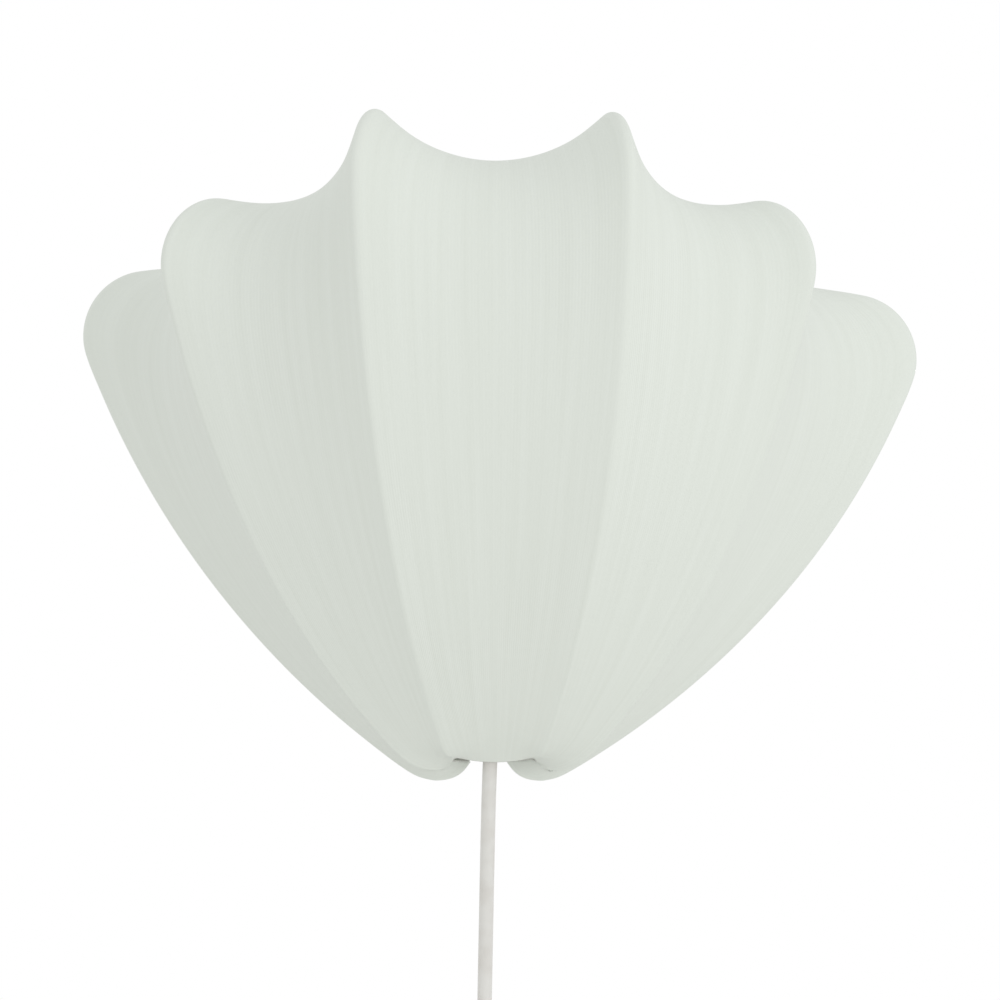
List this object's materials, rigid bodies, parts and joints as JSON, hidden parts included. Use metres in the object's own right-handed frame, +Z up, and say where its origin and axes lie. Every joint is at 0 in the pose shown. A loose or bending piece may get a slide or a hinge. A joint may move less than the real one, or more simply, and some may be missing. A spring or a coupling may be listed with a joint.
{
  "type": "shell wall sconce",
  "caption": "Scallop-shaped wall lamp: an off-white knit stretched over bent-wire ribs on a flat wall bar, with a lampholder, a hanging cord, an in-line rocker switch and a flat plug.",
  "frame": {"origin": "on the back face of the wall spine, half way between its two screw holes", "axes": "+Z up, +Y into the wall (the lamp's front looks along -Y), +X to the right seen from the front"},
  "size_m": [0.405, 0.1743, 0.6898],
  "materials": {
    "white_wire": "satin white powder coat",
    "knit": "matte stretch knit, off-white",
    "elastic": "matte",
    "white_plastic": "matte white",
    "zinc_steel": "zinc plated",
    "brass": "bright",
    "aluminium": "thread rolled",
    "opal_glass": "opal white",
    "cord_jacket": "off-white",
    "rubber": "matte white",
    "tie": "matte white strap",
    "nickel": "nickel plated"
  },
  "bodies": {
    "lamp": {"bracket_screws": "zinc_steel", "coil_tie": "tie", "cord_coil": "cord_jacket", "cord_gland": "white_plastic", "cord_grommet": "rubber", "cord_lower": "cord_jacket", "cord_tail": "cord_jacket", "cord_upper": "cord_jacket", "fabric_cover": "knit", "hem_elastic": "elastic", "holder_base": "white_plastic", "holder_shell": "white_plastic", "holder_sleeve": "brass", "lamp_bracket": "white_wire", "lamp_cap": "aluminium", "lamp_contact": "zinc_steel", "lamp_glass": "opal_glass", "lower_hub": "white_wire", "nipple_nut": "zinc_steel", "plug_body": "white_plastic", "plug_boot": "rubber", "plug_pins": "nickel", "rib_1": "white_wire", "rib_2": "white_wire", "rib_3": "white_wire", "rib_4": "white_wire", "rib_5": "white_wire", "rib_6": "white_wire", "spring_contact": "brass", "switch_back": "white_plastic", "switch_front": "white_plastic", "switch_screws": "zinc_steel", "upper_hub": "white_wire", "wall_spine": "white_wire"},
    "rocker": {"switch_rocker": "white_plastic"}
  },
  "joints": [
    {"name": "rocker_pivot", "type": "hinge", "parent": "lamp", "child": "rocker", "pos_m": [-0.0048, -0.027, -0.293], "axis": [-1, 0, 0], "range_deg": [0, 14]}
  ]
}
